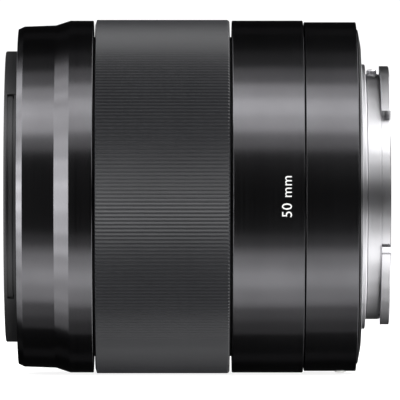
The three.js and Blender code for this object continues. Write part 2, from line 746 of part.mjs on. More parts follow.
// ---------------------------------------------------------------- focus unit
function makeFocusUnit() {
  const rods = { guide_rod_upper: 90, guide_rod_lower: 270 };
  const front = disc(UNIT_R, INNER_SIDES);
  front.holes.push(roundHole(new THREE.Vector2(), 13, INNER_SIDES));
  for (const angle of Object.values(rods)) {
    front.holes.push(roundHole(polar(ROD_CIRCLE_R, angle), ROD_HOLE_R, PIN_SIDES));
  }
  add("focus_unit_plate", plate(front, FOCUS_PLATE_FRONT, FOCUS_PLATE_REAR), BLACK_PLASTIC);
  for (const [name, angle] of Object.entries(rods)) {
    const rod = axialPin(polar(ROD_CIRCLE_R, angle), ROD_R, FOCUS_PLATE_FRONT, STAB_BASE_REAR);
    add(name, rod, STEEL);
  }

  const glass = GLASS[6];
  const ring = turned(
    [
      [glass.half + FIT, -20.9],
      [12.2, -20.9],
      [12.2, -17.6],
      [8.7, -17.6],
      [8.7, -18],
      [glass.half + FIT, -18],
    ],
    INNER_SIDES,
  );
  const sleeveAt = polar(ROD_CIRCLE_R, 90);
  const sleeve = axialPin(sleeveAt, 1.9, -22, -16, 12);
  const sleeveArm = block([-1.6, 1.6], [-20.9, -18.4], [11.5, 20.4]);
  const fork = block([-1.9, 1.9], [-20.2, -18.8], [-22.9, -11.5]);
  const coilArm = block([-18.15, -11.5], [-20.9, -18.4], [-2, 2]);
  const bore = axialPin(sleeveAt, ROD_HOLE_R, -23, -15);
  const slot = block([-ROD_HOLE_R, ROD_HOLE_R], [-21, -18], [-24, -20.4]);
  add("focus_cell", carve([ring, sleeve, sleeveArm, fork, coilArm], [bore, slot]), BLACK_PLASTIC);

  const winding = block([-22.1, -18.2], [-21.5, -17.5], [-4.4, 4.4]);
  const core = block([-21.3, -18.9], [-22, -17], [-3.8, 3.8]);
  add("focus_coil", carve([winding], [core]), COPPER);

  // A closed iron loop: the coil rides on its inner bar, the magnet lies on its outer bar.
  const halfWidth = 3.4;
  const [bar, end] = [1.2, 1.6];
  const loop = block([-25.2, -19.3], [FOCUS_PLATE_REAR, STAB_BASE_FRONT], [-halfWidth, halfWidth]);
  const inside = block(
    [-25.2 + bar, -19.3 - end],
    [FOCUS_PLATE_REAR + bar, STAB_BASE_FRONT - bar],
    [-halfWidth - 1, halfWidth + 1],
  );
  add("focus_motor_yoke", carve([loop], [inside]), STEEL);
  const magnet = block([-23.95, -22.6], [-22.2, -11.8], [-halfWidth, halfWidth]);
  add("focus_motor_magnet", magnet, MAGNET);
}

// ---------------------------------------------------------------- stabiliser
// A bar of round section along X or Z through the shaft's plane.
function shaftAlong(axis, from, to, offset, radius) {
  const rod = new THREE.CylinderGeometry(radius, radius, to - from, PIN_SIDES);
  if (axis === "x") {
    rod.rotateZ(Math.PI / 2);
    return rod.translate((from + to) / 2, STAB_SHAFT_Y, offset);
  }
  rod.rotateX(Math.PI / 2);
  return rod.translate(offset, STAB_SHAFT_Y, (from + to) / 2);
}

function makeStabiliser() {
  const base = disc(UNIT_R, INNER_SIDES);
  base.holes.push(roundHole(new THREE.Vector2(), 12, INNER_SIDES));
  for (const angle of [90, 270]) {
    base.holes.push(roundHole(polar(ROD_CIRCLE_R, angle), ROD_HOLE_R, PIN_SIDES));
  }
  const S = STAB_SHAFT_OFFSET;
  const bosses = [-8, 6].map((x) =>
    block([x - 1, x + 1], [STAB_BASE_REAR - 0.1, -6.7], [S - 1.1, S + 1.1]),
  );
  const slideHole = shaftAlong("x", -12, 12, S, STAB_SHAFT_HOLE_R);
  add(
    "stabiliser_base",
    carve([plate(base, STAB_BASE_FRONT, STAB_BASE_REAR), ...bosses], [slideHole]),
    BLACK_PLASTIC,
  );

  const legs = [
    shaftAlong("x", S, 9, S, STAB_SHAFT_R),
    shaftAlong("z", S, 9, S, STAB_SHAFT_R),
    block(
      [S - 0.5, S + 0.5],
      [STAB_SHAFT_Y - 0.45, STAB_SHAFT_Y + 0.45],
      [S - 0.5, S + 0.5],
    ),
  ];
  add("stabiliser_guide_shaft", carve(legs), STEEL);

  const glass = GLASS[7];
  const cell = turned(
    [
      [glass.half + FIT, -9.4],
      [11.2, -9.4],
      [11.2, -7.3],
      [14.8, -7.3],
      [14.8, -6.3],
      [9, -6.3],
      [9, -7.75],
      [glass.half + FIT, -7.75],
    ],
    INNER_SIDES,
  );
  const arms = [
    block([12, 20.3], [-6.4, -5.6], [-4.4, 4.4]),
    block([-4.4, 4.4], [-6.4, -5.6], [12, 20.3]),
  ];
  for (const z of [-8, 6]) {
    arms.push(block([S - 1.1, -10], [-7.3, -6.3], [z - 1, z + 1]));
    arms.push(block([S - 1.1, S + 1.1], [-8.5, -6.3], [z - 1, z + 1]));
  }
  const cellHole = shaftAlong("z", -12, 12, S, STAB_SHAFT_HOLE_R);
  add("stabiliser_cell", carve([cell, ...arms], [cellHole]), BLACK_PLASTIC);

  // Coils ride on the cell's arms and face magnets on the base: one pair for each direction.
  const coil = (turn) => {
    const winding = block([15.4, 20.2], [-7.3, -6.45], [-4.3, 4.3]);
    const eye = block([17, 18.6], [-8, -6], [-2.7, 2.7]);
    return carve([winding], [eye]).rotateY(turn);
  };
  add("stabiliser_coil_x", coil(0), COPPER);
  add("stabiliser_coil_z", coil(-Math.PI / 2), COPPER);
  const magnet = (turn) => block([15.6, 20.2], [STAB_BASE_REAR, -7.75], [-4.2, 4.2]).rotateY(turn);
  add("stabiliser_magnet_x", magnet(0), MAGNET);
  add("stabiliser_magnet_z", magnet(-Math.PI / 2), MAGNET);
}

makeFilterRing();
makeFrontBarrel();
makeFrontTrimRing();
makeMainTube();
makeFocusRing();
makeRearSleeves();
makeRearFrame();
makeMount();
makeRearBaffle();
makeGlass();
makeFixedCells();
makeIrisPlates();
makeBlades();
makeDrive();
makeFocusUnit();
makeStabiliser();

export default lens;
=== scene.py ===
# The looks of a 50 mm class prime lens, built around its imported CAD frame.
# Stations and radii are written in millimetres: the optical axis is Y, the front glass faces -Y,
# the bayonet faces +Y and +Z is up. An outline is a closed list of (radius, station) points.

import json
from math import asin, cos, pi, radians, sin, sqrt, tan

import bmesh
import bpy
from mathutils import Matrix, Vector


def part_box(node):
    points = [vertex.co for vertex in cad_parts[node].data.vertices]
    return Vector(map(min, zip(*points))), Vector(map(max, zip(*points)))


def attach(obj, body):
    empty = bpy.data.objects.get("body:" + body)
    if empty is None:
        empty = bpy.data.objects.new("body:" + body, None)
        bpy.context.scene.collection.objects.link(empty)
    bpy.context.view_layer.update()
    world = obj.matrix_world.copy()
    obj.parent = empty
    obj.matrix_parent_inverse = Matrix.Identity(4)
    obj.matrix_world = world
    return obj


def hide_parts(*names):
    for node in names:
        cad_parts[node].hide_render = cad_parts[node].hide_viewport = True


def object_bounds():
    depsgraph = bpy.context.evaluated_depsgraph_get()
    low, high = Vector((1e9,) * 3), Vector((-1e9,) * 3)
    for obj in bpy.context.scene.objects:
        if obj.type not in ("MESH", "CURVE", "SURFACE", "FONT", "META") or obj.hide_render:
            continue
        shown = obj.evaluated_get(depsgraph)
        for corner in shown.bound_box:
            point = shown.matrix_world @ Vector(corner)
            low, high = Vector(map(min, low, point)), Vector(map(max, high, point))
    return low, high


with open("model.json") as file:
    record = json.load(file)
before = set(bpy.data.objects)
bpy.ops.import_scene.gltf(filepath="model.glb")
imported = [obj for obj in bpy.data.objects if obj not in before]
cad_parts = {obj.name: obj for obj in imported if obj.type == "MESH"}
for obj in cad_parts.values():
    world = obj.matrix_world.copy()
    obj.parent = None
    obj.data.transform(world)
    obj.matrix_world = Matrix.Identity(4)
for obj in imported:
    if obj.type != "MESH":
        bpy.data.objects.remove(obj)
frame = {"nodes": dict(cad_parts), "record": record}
CAD_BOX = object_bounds()
MM = 0.001
BODY_OF = {n: b for b, nodes in frame["record"]["behaviour"]["bodies"].items() for n in nodes}


def front_of(node):
    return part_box(node)[0].y / MM


def rear_of(node):
    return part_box(node)[1].y / MM


def radius_of(node):
    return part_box(node)[1].x / MM


# ---------------------------------------------------------------- driving dimensions
LIP_FRONT = front_of("filter_ring")
LIP_R = radius_of("front_barrel") - 5.36
THREAD_R = 24.25
THREAD_PITCH = 0.75
WEB_FRONT = -58.1
TUBE_FRONT = front_of("main_tube")
TUBE_R = radius_of("main_tube")
SHELL_FRONT = front_of("front_barrel")
SHELL_REAR = rear_of("front_barrel")
SHELL_R = radius_of("front_barrel")
FLARE_FRONT, FLARE_REAR = -53.26, -50.72
RING_FRONT = front_of("focus_ring")
RING_REAR = rear_of("focus_ring")
RING_R = radius_of("focus_ring")
RIBS = 292
RIB_DEPTH = 0.225
SLEEVE_FRONT = front_of("rear_barrel_front_sleeve")
SLEEVE_SPLIT = rear_of("rear_barrel_front_sleeve")
SLEEVE_R = radius_of("rear_barrel_front_sleeve")
REAR_SLEEVE_FRONT = front_of("rear_barrel_rear_sleeve")
REAR_SLEEVE_REAR = rear_of("rear_barrel_rear_sleeve")
REAR_SLEEVE_R = radius_of("rear_barrel_rear_sleeve")
SLEEVE_BORE_R = 29.45
COVER_R = radius_of("rear_cover_ring")
COVER_SLOPE = 0.2  # its rear face leans this far to both sides of the CAD solid's rear end
COVER_GAP = 0.15  # between it and the flange
FLANGE_R = radius_of("bayonet_mount")
FRAME_REAR = front_of("bayonet_mount")
PILOT_R = 23.2
PILOT_REAR = 0.81
NECK_R = 21.5
NECK_REAR = 3.37
TAB_R = 22.9
TAB_REAR = rear_of("bayonet_mount")
MOUNT_BORE_R = 19.6
TABS = [(40.5, 91.5), (161.5, 212.5), (282.5, 333.5)]
SCREW_ANGLES = [30, 120, 210, 300]
SCREW_CIRCLE_R = 25.1
STOP_SCREW_Y = 2.05
BEAD_Y = -3.4

# front vertex, centre thickness, surface radii, half diameter, smaller half diameter of a hollow rear
GLASS = [
    (-54.6, 4.4, 34, 110, 15, 15),
    (-49.9, 4.4, 24, 60, 12.6, 12.6),
    (-45.1, 1.3, 80, 17, 11.6, 9.6),
    (-32.6, 1.2, -18, 36, 9.6, 9.6),
    (-31.37, 5, 36, -22, 9.6, 9.6),
    (-26, 3.4, 58, -40, 10, 10),
    (-21, 1.2, 120, 22, 9.5, 8.6),
    (-10.8, 3.6, 28, -60, 9.8, 9.8),
    (-4.6, 1.6, -45, 70, 9.2, 9.2),
]
GLASS_FIT = 0.15
TURNS = 288  # columns of a turned surface
BLADES = 7
BLADE_PITCH = 0.24  # from one blade's level to the next
BLADE_THICK = 0.12


# ---------------------------------------------------------------- materials
NOISE_LOW, NOISE_HIGH = 0.3, 0.7  # most of a noise lies between these


def node(mat, kind, inputs=None, **settings):
    """Adds a shader node. An input is a value, or the output socket it is linked from."""
    made = mat.node_tree.nodes.new(kind)
    for key, value in settings.items():
        setattr(made, key, value)
    for key, value in (inputs or {}).items():
        if isinstance(value, bpy.types.NodeSocket):
            mat.node_tree.links.new(value, made.inputs[key])
        else:
            made.inputs[key].default_value = value
    return made


def principled(name, colour, roughness, metallic=0.0, **sockets):
    mat = bpy.data.materials.new(name)
    mat.use_nodes = True
    shader = mat.node_tree.nodes["Principled BSDF"]
    shader.inputs["Base Color"].default_value = (*colour, 1)
    shader.inputs["Roughness"].default_value = roughness
    shader.inputs["Metallic"].default_value = metallic
    for key, value in sockets.items():
        shader.inputs[key.replace("_", " ")].default_value = value
    return mat


def plug(mat, socket, output):
    mat.node_tree.links.new(output, mat.node_tree.nodes["Principled BSDF"].inputs[socket])


def place(mat):
    return node(mat, "ShaderNodeTexCoord").outputs["Object"]


def lathe_marks(mat, radial, along):
    """Coordinates that don't change round the optical axis, so marks drawn with them are rings."""
    flat = node(mat, "ShaderNodeVectorMath", {0: place(mat), 1: (1, 0, 1)}, operation="MULTIPLY")
    radius = node(mat, "ShaderNodeVectorMath", {0: flat.outputs[0]}, operation="LENGTH")
    split = node(mat, "ShaderNodeSeparateXYZ", {0: place(mat)})
    across = node(
        mat, "ShaderNodeMath", {0: radius.outputs["Value"], 1: radial / MM}, operation="MULTIPLY"
    )
    down = node(mat, "ShaderNodeMath", {0: split.outputs["Y"], 1: along / MM}, operation="MULTIPLY")
    return node(mat, "ShaderNodeCombineXYZ", {0: across.outputs[0], 1: down.outputs[0]}).outputs[0]


def noise(mat, vector, scale, detail=2.0):
    made = node(mat, "ShaderNodeTexNoise", {"Vector": vector, "Scale": scale, "Detail": detail})
    return made.outputs["Fac"]


def spread(mat, value, low, high):
    """Maps the middle of a noise onto a range."""
    inputs = {0: value, 1: NOISE_LOW, 2: NOISE_HIGH, 3: low, 4: high}
    return node(mat, "ShaderNodeMapRange", inputs).outputs[0]


def tones(mat, value, low, high):
    stops = node(mat, "ShaderNodeValToRGB", {"Fac": value})
    ramp = stops.color_ramp.elements
    ramp[0].position, ramp[1].position = NOISE_LOW, NOISE_HIGH
    ramp[0].color, ramp[1].color = (*low, 1), (*high, 1)
    plug(mat, "Base Color", stops.outputs["Color"])


def bump(mat, height, strength, depth):
    inputs = {"Height": height, "Strength": strength, "Distance": depth * MM}
    plug(mat, "Normal", node(mat, "ShaderNodeBump", inputs).outputs["Normal"])


def turned_metal(
    name, colour, roughness, metallic, grain, lines, tint=0.12, specular=0.5, edge=1.0
):
    """Turned metal: fine rings left by the tool under a finely pitted surface. `tint` is how far
    its tone wanders, and `edge` scales what it mirrors at a grazing angle."""
    mat = principled(
        name,
        colour,
        roughness,
        metallic,
        Specular_IOR_Level=specular,
        Specular_Tint=(edge, edge, edge, 1),
    )
    rings = noise(mat, lathe_marks(mat, lines, lines), 1, 3)
    pits = noise(mat, place(mat), grain / MM, 1)
    both = node(mat, "ShaderNodeMix", {"Factor": 0.45, "A": rings, "B": pits}, data_type="FLOAT")
    cloud = noise(mat, place(mat), 60, 3)
    darker = tuple(c * (1 - tint) for c in colour)
    tones(mat, cloud, darker, tuple(c * (1 + tint) for c in colour))
    plug(mat, "Roughness", spread(mat, rings, roughness * 0.93, roughness * 1.07))
    bump(mat, both.outputs[0], 0.1, 0.01)
    return mat


def brushed_round(mat, strength):
    """Stretches highlights across the turning marks, which run round the optical axis."""
    shader = mat.node_tree.nodes["Principled BSDF"]
    shader.inputs["Anisotropic"].default_value = strength
    shader.inputs["Anisotropic Rotation"].default_value = 0.25
    tangent = node(mat, "ShaderNodeTangent", direction_type="RADIAL", axis="Y")
    plug(mat, "Tangent", tangent.outputs["Tangent"])


def moulded(name, colour, roughness, grain=5.0, strength=0.25):
    """Matt moulded plastic or blasted paint with a fine texture."""
    mat = principled(name, colour, roughness)
    speck = noise(mat, place(mat), grain / MM, 3)
    tones(mat, speck, tuple(c * 0.8 for c in colour), tuple(c * 1.25 for c in colour))
    plug(mat, "Roughness", spread(mat, speck, roughness * 0.9, min(1, roughness * 1.1)))
    bump(mat, speck, strength, 0.03)
    return mat


def wound_wire(name):
    mat = principled(name, (0.72, 0.36, 0.18), 0.35, 0.9)
    wave = node(
        mat,
        "ShaderNodeTexWave",
        {"Vector": place(mat), "Scale": 2.4 / MM, "Distortion": 0.3, "Detail": 1},
        bands_direction="DIAGONAL",
    ).outputs["Fac"]
    tones(mat, wave, (0.3, 0.12, 0.05), (0.8, 0.42, 0.2))
    bump(mat, wave, 0.8, 0.04)
    return mat


def board(name):
    mat = principled(name, (0.03, 0.15, 0.06), 0.4)
    cells = node(
        mat,
        "ShaderNodeTexVoronoi",
        {"Vector": place(mat), "Scale": 0.5 / MM},
        feature="DISTANCE_TO_EDGE",
        distance="MANHATTAN",
    )
    tones(mat, cells.outputs["Distance"], (0.05, 0.22, 0.09), (0.02, 0.1, 0.045))
    return mat


def coated_glass(name, tint, level):
    """Clear glass whose weak reflections take the colour of its coating."""
    mat = principled(
        name,
        (1, 1, 1),
        0.0,
        Transmission_Weight=1.0,
        IOR=1.5,
        Specular_IOR_Level=level,
        Specular_Tint=(*tint, 1),
    )
    cloud = noise(mat, place(mat), 90, 1)
    tones(mat, cloud, (0.97, 0.98, 0.98), (1, 1, 1))
    return mat


BLACK = turned_metal("black_anodised", (0.115, 0.1138, 0.1205), 0.185, 1.0, 9, 3, edge=0.4)
COVER = turned_metal("cover_anodised", (0.02, 0.02, 0.021), 0.3, 1.0, 9, 3)
LIP = turned_metal("lip_anodised", (0.055, 0.055, 0.057), 0.45, 0.85, 9, 3)
RIBBED = turned_metal("ribbed_anodised", (0.018, 0.0185, 0.021), 0.3, 0.25, 9, 3, specular=0.7)
INNER = turned_metal("inner_anodised", (0.03, 0.03, 0.032), 0.55, 0.5, 9, 2)
CHROME = turned_metal("bright_mount", (0.56, 0.557, 0.575), 0.3, 1.0, 6, 5, 0.04)
brushed_round(CHROME, 0.7)
STEEL = turned_metal("steel", (0.55, 0.55, 0.56), 0.3, 1.0, 6, 4, 0.05)
MAGNET = turned_metal("magnet", (0.4, 0.4, 0.42), 0.3, 1.0, 6, 2, 0.05)
GOLD = turned_metal("gold_contact", (0.83, 0.6, 0.25), 0.25, 1.0, 8, 4, 0.05)
PLASTIC = moulded("black_plastic", (0.016, 0.016, 0.017), 0.6)
PAINT = moulded("white_paint", (0.7, 0.7, 0.69), 0.45, 8, 0.05)
COPPER = wound_wire("copper_winding")
BOARD = board("circuit_board")
FRONT_GLASS = coated_glass("coated_glass_green", (0.16, 0.4, 0.27), 0.1)
INNER_GLASS = coated_glass("coated_glass_violet", (0.1, 0.06, 0.16), 0.04)

# the CAD nodes that stay, by material slot
CAD_FINISH = {
    "black_anodised": (INNER, ["main_tube", "rear_frame"]),
    "black_plastic": (
        PLASTIC,
        ["ring_sensor", "encoder_ring", "iris_base_plate", "iris_cover_plate", "iris_drive_ring"]
        + ["focus_unit_plate", "focus_cell", "stabiliser_base", "stabiliser_cell"],
    ),
    "steel": (
        STEEL,
        ["guide_rod_upper", "guide_rod_lower", "iris_motor", "iris_pinion", "focus_motor_yoke"]
        + ["stabiliser_guide_shaft"],
    ),
    "copper_winding": (COPPER, ["focus_coil", "stabiliser_coil_x", "stabiliser_coil_z"]),
    "magnet": (MAGNET, ["focus_motor_magnet", "stabiliser_magnet_x", "stabiliser_magnet_z"]),
    "circuit_board": (BOARD, ["main_circuit_board"]),
}


# ---------------------------------------------------------------- building blocks
def rounded(outline, default=0.08):
    """The outline with arcs for corners. A third number in a point is its own fillet."""
    points = [Vector(p[:2]) for p in outline]
    result = []
    for i, corner in enumerate(points):
        fillet = outline[i][2] if len(outline[i]) > 2 else default
        before, after = points[i - 1] - corner, points[(i + 1) % len(points)] - corner
        opening = before.angle(after)
        reach = min(fillet / tan(opening / 2), 0.45 * before.length, 0.45 * after.length)
        if fillet == 0 or reach < 1e-4 or pi - opening < radians(4):
            result.append(corner)
            continue
        a, b = before.normalized(), after.normalized()
        centre = corner + (a + b).normalized() * (reach / cos(opening / 2))
        start, end = corner + a * reach - centre, corner + b * reach - centre
        turn = start.angle(end)
        steps = max(2, round(4 * turn / (pi / 2)))
        for k in range(steps + 1):
            t = k / steps
            result.append(
                centre + (start * sin(turn * (1 - t)) + end * sin(turn * t)) / sin(turn)
            )
    return result


def ring_mesh(name, columns):
    """Joins outlines standing at the angles of `columns`, [(degrees, outline)], into one skin."""
    bm = bmesh.new()
    rows = []
    for angle, outline in columns:
        c, s = cos(radians(angle)) * MM, sin(radians(angle)) * MM
        rows.append([bm.verts.new((r * c, y * MM, r * s)) for r, y in outline])
    count = len(rows[0])
    for a, b in zip(rows, rows[1:] + rows[:1]):
        for i in range(count):
            j = (i + 1) % count
            bm.faces.new((a[i], b[i], b[j], a[j]))
    return finish_mesh(name, bm)


def finish_mesh(name, bm):
    bmesh.ops.remove_doubles(bm, verts=bm.verts, dist=2e-7)
    bmesh.ops.dissolve_degenerate(bm, edges=bm.edges, dist=1e-7)
    bmesh.ops.recalc_face_normals(bm, faces=bm.faces)
    mesh = bpy.data.meshes.new(name)
    bm.to_mesh(mesh)
    bm.free()
    obj = bpy.data.objects.new(name, mesh)
    bpy.context.scene.collection.objects.link(obj)
    return obj


def turned(name, outline, turns=TURNS, fillet=0.08):
    section = rounded(outline, fillet)
    return ring_mesh(name, [(360 * i / turns, section) for i in range(turns)])


def on_axis(obj, at=(0, 0, 0), axis="Y"):
    """Moves a piece turned about Y so that its axis passes through a point, in millimetres."""
    turn = {"Y": Matrix.Identity(4), "Z": Matrix.Rotation(pi / 2, 4, "X")}[axis]
    obj.data.transform(Matrix.Translation(Vector(at) * MM) @ turn)
    return obj


def plate(name, loops, front, rear, bevel=0.06):
    """A flat plate between two stations. The first loop of (x, z) points is its edge, and any
    others are holes."""
    curve = bpy.data.curves.new(name, "CURVE")
    curve.dimensions = "2D"
    curve.fill_mode = "BOTH"
    for loop in loops:
        spline = curve.splines.new("POLY")
        spline.points.add(len(loop) - 1)
        for point, (x, z) in zip(spline.points, loop):
            point.co = (x * MM, z * MM, 0, 1)
        spline.use_cyclic_u = True
    curve.extrude = (rear - front) / 2 * MM - bevel * MM
    curve.bevel_depth = bevel * MM
    curve.bevel_resolution = 2
    curve.offset = -bevel * MM
    holder = bpy.data.objects.new(name + "_outline", curve)
    bpy.context.scene.collection.objects.link(holder)
    obj = baked(name, holder)
    stand = Matrix.Translation((0, (front + rear) / 2 * MM, 0)) @ Matrix.Rotation(pi / 2, 4, "X")
    obj.data.transform(stand)
    return obj


def baked(name, source):
    """A mesh object with the source's modifiers or curve settings applied. The source is removed."""
    view = bpy.context.evaluated_depsgraph_get()
    view.update()
    mesh = bpy.data.meshes.new_from_object(source.evaluated_get(view))
    mesh.name = name
    bm = bmesh.new()
    bm.from_mesh(mesh)
    bpy.data.meshes.remove(mesh)
    bpy.data.objects.remove(source)
    return finish_mesh(name, bm)


def cut(obj, tools, operation="DIFFERENCE"):
    """Cuts the tools out of a piece, or joins them to it, and removes them."""
    for tool in tools:
        modifier = obj.modifiers.new("cut", "BOOLEAN")
        modifier.operation = operation
        modifier.solver = "EXACT"
        modifier.object = tool
    name = obj.name
    obj.name = name + "_uncut"
    result = baked(name, obj)
    for tool in tools:
        bpy.data.objects.remove(tool)
    return result


def arc(radius, start, end, steps, centre=(0, 0)):
    angles = [radians(start + (end - start) * i / steps) for i in range(steps + 1)]
    return [(centre[0] + radius * cos(a), centre[1] + radius * sin(a)) for a in angles]


def circle(radius, steps):
    return arc(radius, 0, 360 * (steps - 1) / steps, steps - 1)


def sector(inner, outer, first, last):
    """The outline of a piece of a flat ring, between two angles."""
    return arc(outer, first, last, 40) + arc(inner, last, first, 40)


def box_tool(name, low, high):
    """A block between two corners, in millimetres."""
    bm = bmesh.new()
    bmesh.ops.create_cube(bm, size=1)
    size = [(b - a) * MM for a, b in zip(low, high)]
    middle = [(a + b) / 2 * MM for a, b in zip(low, high)]
    bm.transform(Matrix.Translation(middle) @ Matrix.Diagonal((*size, 1)))
    return finish_mesh(name, bm)


def dress(obj, mat, stands_for=(), body=None, sharp=38):
    """Shading, material and body of a finished piece; the CAD parts it stands for are hidden."""
    obj.data.materials.clear()
    obj.data.materials.append(mat)
    obj.data.shade_smooth()
    obj.data.set_sharp_from_angle(angle=radians(sharp))
    normals = obj.modifiers.new("weighted normals", "WEIGHTED_NORMAL")
    normals.keep_sharp = True
    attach(obj, body or BODY_OF[stands_for[0]])
    if stands_for:
        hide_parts(*stands_for)
    return obj


def polar(radius, angle):
    return radius * cos(radians(angle)), radius * sin(radians(angle))


# ---------------------------------------------------------------- front of the barrel
def make_filter_ring():
    """The lip: a threaded bore inside, and outside two zones that take the lugs of a hood."""
    half_span = 44
    step_angle = 36
    zone_front, groove_front, groove_rear = LIP_FRONT + 0.55, LIP_FRONT + 1.5, LIP_FRONT + 1.72
    web_r = TUBE_R - 0.1

    def section(angle):
        off_middle = abs((angle + 90) % 180 - 90)
        hooded = off_middle < half_span
        floor = LIP_R - 0.42 if hooded else LIP_R
        groove = LIP_R - 0.75 if hooded else LIP_R
        strip = LIP_R - 0.1 if hooded and off_middle > step_angle else LIP_R
        outside = [
            (THREAD_R + 0.45, LIP_FRONT),
            (LIP_R - 0.2, LIP_FRONT),
            (LIP_R - 0.08, LIP_FRONT + 0.04),
            (LIP_R - 0.03, LIP_FRONT + 0.13),
            (LIP_R, LIP_FRONT + 0.35),
            (LIP_R, zone_front),
            (floor, zone_front + 0.03),
            (floor, groove_front),
            (groove, groove_front + 0.02),
            (groove, groove_rear),
            (strip, groove_rear + 0.02),
            (strip, SHELL_FRONT - 0.13),
            (LIP_R - 0.5, SHELL_FRONT - 0.1),
            (LIP_R - 0.5, SHELL_FRONT + 0.02),
            (LIP_R, SHELL_FRONT + 0.04),
            (LIP_R, WEB_FRONT),
            (web_r, WEB_FRONT),
            (web_r, TUBE_FRONT),
            (THREAD_R, TUBE_FRONT),
        ]
        return outside + thread

    thread = []
    turns = int((WEB_FRONT - LIP_FRONT - 0.6) / THREAD_PITCH)
    for i in reversed(range(turns)):
        start = LIP_FRONT + 0.45 + i * THREAD_PITCH
        thread += [
            (THREAD_R, start + 0.72 * THREAD_PITCH),
            (THREAD_R + 0.36, start + 0.5 * THREAD_PITCH),
            (THREAD_R + 0.36, start + 0.42 * THREAD_PITCH),
            (THREAD_R, start + 0.2 * THREAD_PITCH),
        ]
    thread.append((THREAD_R, LIP_FRONT + 0.5))
    edges = [m + s * e for m in (0, 180) for s in (-1, 1) for e in (half_span, step_angle)]
    angles = [360 * i / TURNS for i in range(TURNS)]
    angles += [(e + d) % 360 for e in edges for d in (-0.04, 0.04)]
    ring = ring_mesh("filter_ring_fine", [(a, section(a)) for a in sorted(angles)])
    dress(ring, LIP, ["filter_ring"])


def make_front_barrel():
    """The front shell, with a chamfer at its front and a flare out to the ring's size."""
    bore = TUBE_R + 0.6
    web_rear = WEB_FRONT - 0.1
    nose_r, chamfer_r, waist_r = 29.35, 29.84, 30.04
    outline = [
        (LIP_R + 0.2, SHELL_FRONT, 0.05),
        (nose_r, SHELL_FRONT, 0.12),
        (chamfer_r, SHELL_FRONT + 1.05, 0.3),
        (waist_r, FLARE_FRONT, 0.4),
        (SHELL_R, FLARE_REAR, 0.5),
        (SHELL_R, SHELL_REAR, 0.12),
        (bore, SHELL_REAR),
        (bore, web_rear),
        (LIP_R + 0.2, web_rear),
    ]
    dress(turned("front_barrel_fine", outline), BLACK, ["front_barrel"])


def make_front_trim_ring():
    """A shallow funnel of fine light-trapping steps between the thread and the first glass."""
    rim_r, skirt_r = THREAD_R - 0.15, 14.7
    mouth_r, throat_r = rim_r - 0.9, skirt_r + 0.9
    mouth_y, throat_y = front_of("front_trim_ring"), -56.2
    shelf_y, skirt_rear = -55.4, -51.6
    outline = [(rim_r, mouth_y), (mouth_r, mouth_y, 0.2)]
    steps = 16
    for i in range(steps):
        t0, t1 = (i + 0.15) / steps, (i + 0.85) / steps
        r0, r1 = (mouth_r + (throat_r - mouth_r) * t for t in (t0, t1))
        y0, y1 = (mouth_y + (throat_y - mouth_y) * t for t in (t0, t1))
        outline += [(r0, y0, 0.02), (r0 - 0.08, y0 + 0.12, 0.02), (r1, y1, 0.02)]
    outline += [
        (throat_r, throat_y),
        (skirt_r, throat_y),
        (skirt_r, skirt_rear),
        (skirt_r + 0.3, skirt_rear),
        (skirt_r + 0.3, shelf_y),
        (skirt_r + 1.3, shelf_y),
        (rim_r, TUBE_FRONT),
    ]
    ring = turned("front_trim_ring_fine", outline, fillet=0.05)
    dress(ring, PLASTIC, ["front_trim_ring"], sharp=30)


def make_focus_ring():
    """The ribbed ring: V-shaped ribs, cut off by the chamfer at both ends."""
    land = TUBE_R + 0.1
    relief = TUBE_R + 1.3
    land_width = 1.5
    chamfer = 0.8  # in radius, at the front
    front_slope = 0.26 / chamfer  # its rise along the axis for each millimetre of radius
    rear_corner = 0.5
    edge = 0.02

    def section(depth):
        r = RING_R - depth
        outline = [
            (land, RING_FRONT),
            (RING_R - chamfer, RING_FRONT),
            (r - edge, RING_FRONT + front_slope * (chamfer - edge - depth)),
            (r, RING_FRONT + front_slope * (chamfer - depth) + edge),
        ]
        # the rounded rear corner begins where it reaches the rib's radius
        start = asin(1 - depth / rear_corner)
        for i in range(7):
            a = start * (1 - i / 6)
            across, along = rear_corner * sin(a), rear_corner * cos(a)
            outline.append((RING_R - rear_corner + across, RING_REAR - rear_corner + along))
        outline += [
            (land, RING_REAR),
            (land, RING_REAR - land_width),
            (relief, RING_REAR - land_width),
            (relief, RING_FRONT + land_width),
            (land, RING_FRONT + land_width),
        ]
        return outline

    # one rib: share of the pitch, and share of the depth; a rounded crest, a flank, a rounded valley
    profile = [(0, 0), (0.03, 0.03), (0.47, 0.98), (0.5, 1), (0.53, 0.98), (0.97, 0.03)]
    columns = []
    for i in range(RIBS):
        for part, share in profile:
            columns.append((360 * (i + part) / RIBS, section(RIB_DEPTH * share)))
    ring = ring_mesh("focus_ring_fine", columns)
    dress(ring, RIBBED, ["focus_ring"], sharp=50)


